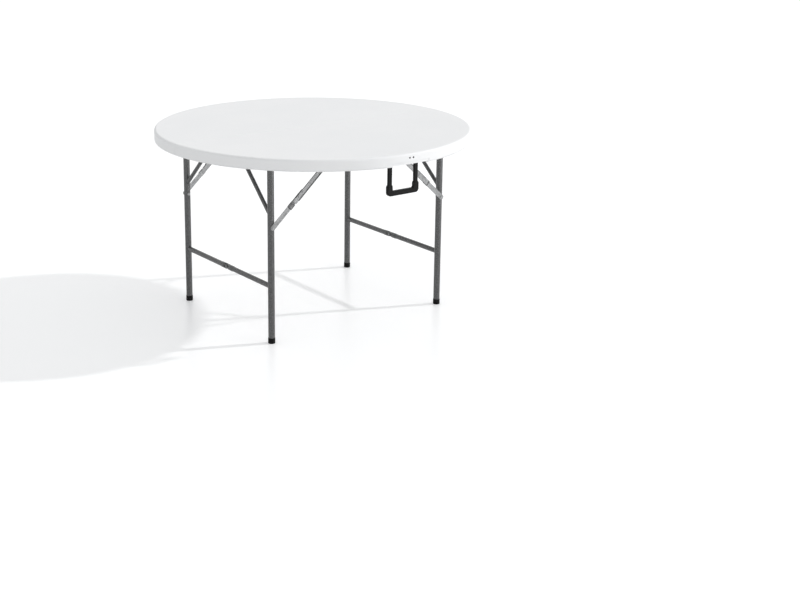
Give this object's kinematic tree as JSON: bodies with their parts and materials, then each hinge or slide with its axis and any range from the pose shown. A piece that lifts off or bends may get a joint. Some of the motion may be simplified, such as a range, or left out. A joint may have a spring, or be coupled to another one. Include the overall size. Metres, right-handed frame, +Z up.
{
  "type": "folding garden table",
  "caption": "Round folding garden table: a white moulded top hinged along its middle, dark steel leg frames with folding stays, and a swinging carrying handle under the rim.",
  "frame": {"origin": "on the floor under the middle of the table", "axes": "+X along the fold line from the left leg frame to the right one, +Y from the half with the handle to the other half, +Z up"},
  "size_m": [1.22, 1.2199, 0.72],
  "materials": {
    "white_plastic": "fine moulded grain",
    "black_plastic": "satin",
    "hammered_paint": "hammered",
    "zinc": "zinc plated"
  },
  "bodies": {
    "table_top": {"front_top_half": "white_plastic", "rear_top_half": "white_plastic", "front_side_rail": "hammered_paint", "rear_side_rail": "hammered_paint", "rail_screws": "zinc", "front_left_saddle": "hammered_paint", "rear_left_saddle": "hammered_paint", "front_right_saddle": "hammered_paint", "rear_right_saddle": "hammered_paint", "saddle_screws": "zinc", "fold_hinge_front_leaves": "zinc", "fold_hinge_rear_leaves": "zinc", "fold_hinge_pins": "zinc", "fold_hinge_screws": "zinc", "handle_bracket_left": "hammered_paint", "handle_bracket_right": "hammered_paint", "handle_rod": "zinc", "handle_bracket_screws": "zinc", "rim_screws": "black_plastic", "stay_anchor_rivets": "zinc"},
    "left_leg_frame": {"left_front_leg": "hammered_paint", "left_front_foot_cap": "black_plastic", "left_front_pivot_tube": "hammered_paint", "left_front_brace": "hammered_paint", "left_front_crossbar": "hammered_paint", "left_rear_leg": "hammered_paint", "left_rear_foot_cap": "black_plastic", "left_rear_pivot_tube": "hammered_paint", "left_rear_brace": "hammered_paint", "left_rear_crossbar": "hammered_paint", "left_crossbar_pin": "zinc", "left_leg_rivets": "zinc"},
    "left_front_upper_stay": {"left_front_upper_link": "zinc", "left_front_mid_rivet": "zinc"},
    "left_front_lower_stay": {"left_front_lower_link": "zinc"},
    "left_rear_upper_stay": {"left_rear_upper_link": "zinc", "left_rear_mid_rivet": "zinc"},
    "left_rear_lower_stay": {"left_rear_lower_link": "zinc"},
    "right_leg_frame": {"right_front_leg": "hammered_paint", "right_front_foot_cap": "black_plastic", "right_front_pivot_tube": "hammered_paint", "right_front_brace": "hammered_paint", "right_front_crossbar": "hammered_paint", "right_rear_leg": "hammered_paint", "right_rear_foot_cap": "black_plastic", "right_rear_pivot_tube": "hammered_paint", "right_rear_brace": "hammered_paint", "right_rear_crossbar": "hammered_paint", "right_crossbar_pin": "zinc", "right_leg_rivets": "zinc"},
    "right_front_upper_stay": {"right_front_upper_link": "zinc", "right_front_mid_rivet": "zinc"},
    "right_front_lower_stay": {"right_front_lower_link": "zinc"},
    "right_rear_upper_stay": {"right_rear_upper_link": "zinc", "right_rear_mid_rivet": "zinc"},
    "right_rear_lower_stay": {"right_rear_lower_link": "zinc"},
    "handle_loop": {"handle": "black_plastic"}
  },
  "joints": [
    {"name": "left_legs_fold", "type": "hinge", "parent": "table_top", "child": "left_leg_frame", "pos_m": [-0.392, 0, 0.69], "axis": [0, -1, 0], "range_deg": [0, 90]},
    {"name": "left_front_upper_stay_turn", "type": "hinge", "parent": "table_top", "child": "left_front_upper_stay", "pos_m": [-0.11835, -0.3183, 0.69], "axis": [0, 1, 0], "range_deg": [0, 42.31]},
    {"name": "left_front_lower_stay_turn", "type": "hinge", "parent": "left_leg_frame", "child": "left_front_lower_stay", "pos_m": [-0.392, -0.3139, 0.441], "axis": [0, -1, 0], "range_deg": [0, 47.71]},
    {"name": "left_rear_upper_stay_turn", "type": "hinge", "parent": "table_top", "child": "left_rear_upper_stay", "pos_m": [-0.11835, 0.3183, 0.69], "axis": [0, 1, 0], "range_deg": [0, 42.31]},
    {"name": "left_rear_lower_stay_turn", "type": "hinge", "parent": "left_leg_frame", "child": "left_rear_lower_stay", "pos_m": [-0.392, 0.3139, 0.441], "axis": [0, -1, 0], "range_deg": [0, 47.71]},
    {"name": "right_legs_fold", "type": "hinge", "parent": "table_top", "child": "right_leg_frame", "pos_m": [0.392, 0, 0.663], "axis": [0, 1, 0], "range_deg": [0, 90]},
    {"name": "right_front_upper_stay_turn", "type": "hinge", "parent": "table_top", "child": "right_front_upper_stay", "pos_m": [0.13813, -0.3183, 0.672], "axis": [0, -1, 0], "range_deg": [0, 39.56]},
    {"name": "right_front_lower_stay_turn", "type": "hinge", "parent": "right_leg_frame", "child": "right_front_lower_stay", "pos_m": [0.392, -0.3139, 0.441], "axis": [0, 1, 0], "range_deg": [0, 47.71]},
    {"name": "right_rear_upper_stay_turn", "type": "hinge", "parent": "table_top", "child": "right_rear_upper_stay", "pos_m": [0.13813, 0.3183, 0.672], "axis": [0, -1, 0], "range_deg": [0, 39.56]},
    {"name": "right_rear_lower_stay_turn", "type": "hinge", "parent": "right_leg_frame", "child": "right_rear_lower_stay", "pos_m": [0.392, 0.3139, 0.441], "axis": [0, 1, 0], "range_deg": [0, 47.71]},
    {"name": "handle_swing", "type": "hinge", "parent": "table_top", "child": "handle_loop", "pos_m": [0, -0.56, 0.676], "axis": [-1, 0, 0], "range_deg": [-90, 90]}
  ],
  "couplings": [
    {"joint": "left_front_upper_stay_turn", "follows": "left_legs_fold", "ratio": 0.47},
    {"joint": "left_front_lower_stay_turn", "follows": "left_legs_fold", "ratio": 0.53},
    {"joint": "left_rear_upper_stay_turn", "follows": "left_legs_fold", "ratio": 0.47},
    {"joint": "left_rear_lower_stay_turn", "follows": "left_legs_fold", "ratio": 0.53},
    {"joint": "right_front_upper_stay_turn", "follows": "right_legs_fold", "ratio": 0.43946},
    {"joint": "right_front_lower_stay_turn", "follows": "right_legs_fold", "ratio": 0.53},
    {"joint": "right_rear_upper_stay_turn", "follows": "right_legs_fold", "ratio": 0.43946},
    {"joint": "right_rear_lower_stay_turn", "follows": "right_legs_fold", "ratio": 0.53}
  ]
}
